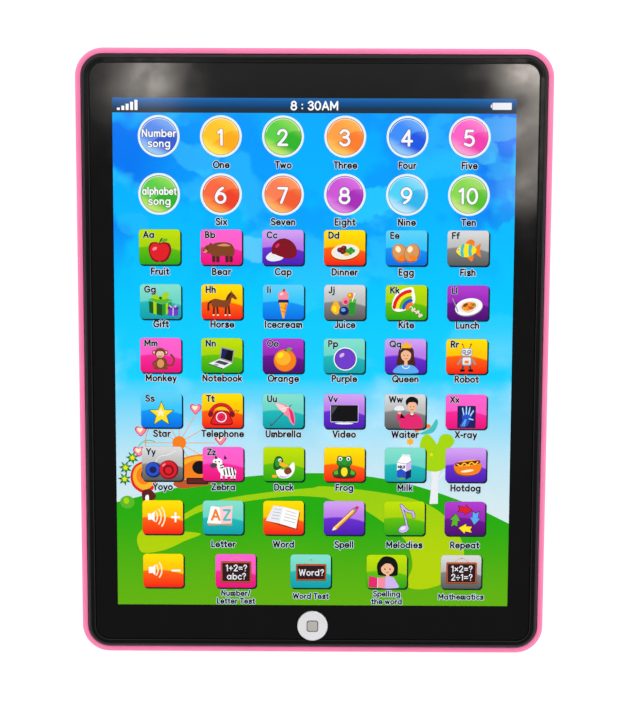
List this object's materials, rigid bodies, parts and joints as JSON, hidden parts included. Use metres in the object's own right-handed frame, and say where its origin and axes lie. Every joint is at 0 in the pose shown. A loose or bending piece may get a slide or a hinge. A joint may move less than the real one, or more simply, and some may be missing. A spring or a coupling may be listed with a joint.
{
  "type": "kids toy tablet",
  "caption": "Flat child's learning tablet with a printed touch panel, a push button, a sliding power switch, a speaker and a battery box behind a hinged door.",
  "frame": {"origin": "middle of the flat back face, on the surface the tablet lies on", "axes": "+X to the right seen from the front, +Y to the top edge of the screen, +Z out of the screen"},
  "size_m": [0.185, 0.24, 0.023],
  "materials": {
    "rear_shell": "satin",
    "front_shell": "gloss",
    "printed_film": "gloss",
    "membrane": "satin",
    "button": "satin",
    "board": "satin",
    "black_part": "satin",
    "nylon": "satin",
    "steel": "satin",
    "cone_paper": "matte",
    "cell": "satin",
    "wire_red": "satin",
    "wire_black": "satin",
    "wire_yellow": "satin"
  },
  "bodies": {
    "casing": {"rear_casing": "rear_shell", "front_housing": "front_shell", "face_film": "printed_film", "upper_membrane": "membrane", "spacer_membrane": "membrane", "lower_membrane": "membrane", "main_board": "board", "chip_blob": "black_part", "home_switch_body": "black_part", "tail_connector": "nylon", "speaker_frame": "steel", "speaker_magnet": "steel", "power_switch_body": "steel", "contact_positive": "steel", "contact_negative": "steel", "contact_bridge_left": "steel", "contact_bridge_right": "steel", "contact_spring_1": "steel", "contact_spring_2": "steel", "contact_spring_3": "steel", "case_screw_1": "steel", "case_screw_2": "steel", "case_screw_3": "steel", "case_screw_4": "steel", "case_screw_5": "steel", "case_screw_6": "steel", "board_screw_1": "steel", "board_screw_2": "steel", "board_screw_3": "steel", "speaker_screw_1": "steel", "speaker_screw_2": "steel", "battery_1": "cell", "battery_2": "cell", "battery_3": "cell", "wire_battery_to_switch": "wire_red", "wire_switch_to_board": "wire_red", "wire_battery_to_board": "wire_black", "speaker_wire_a": "wire_yellow", "speaker_wire_b": "wire_yellow"},
    "home_button": {"home_button": "button", "home_switch_plunger": "black_part"},
    "power_switch_knob": {"power_switch_knob": "black_part"},
    "battery_door": {"battery_door": "rear_shell", "door_screw": "steel"},
    "speaker_cone": {"speaker_cone": "cone_paper"}
  },
  "joints": [
    {"name": "home_button_press", "type": "slide", "parent": "casing", "child": "home_button", "axis": [0, 0, -1], "range_m": [0, 0.0005], "stiffness_N_per_m": 600},
    {"name": "power_switch_slide", "type": "slide", "parent": "casing", "child": "power_switch_knob", "axis": [0, 1, 0], "range_m": [0, 0.0032]},
    {"name": "battery_door_open", "type": "hinge", "parent": "casing", "child": "battery_door", "pos_m": [0, -0.00235, 0], "axis": [-1, 0, 0], "range_deg": [0, 75]},
    {"name": "speaker_cone_travel", "type": "slide", "parent": "casing", "child": "speaker_cone", "axis": [0, 0, 1], "range_m": [-0.0003, 0.0003], "stiffness_N_per_m": 1500}
  ]
}
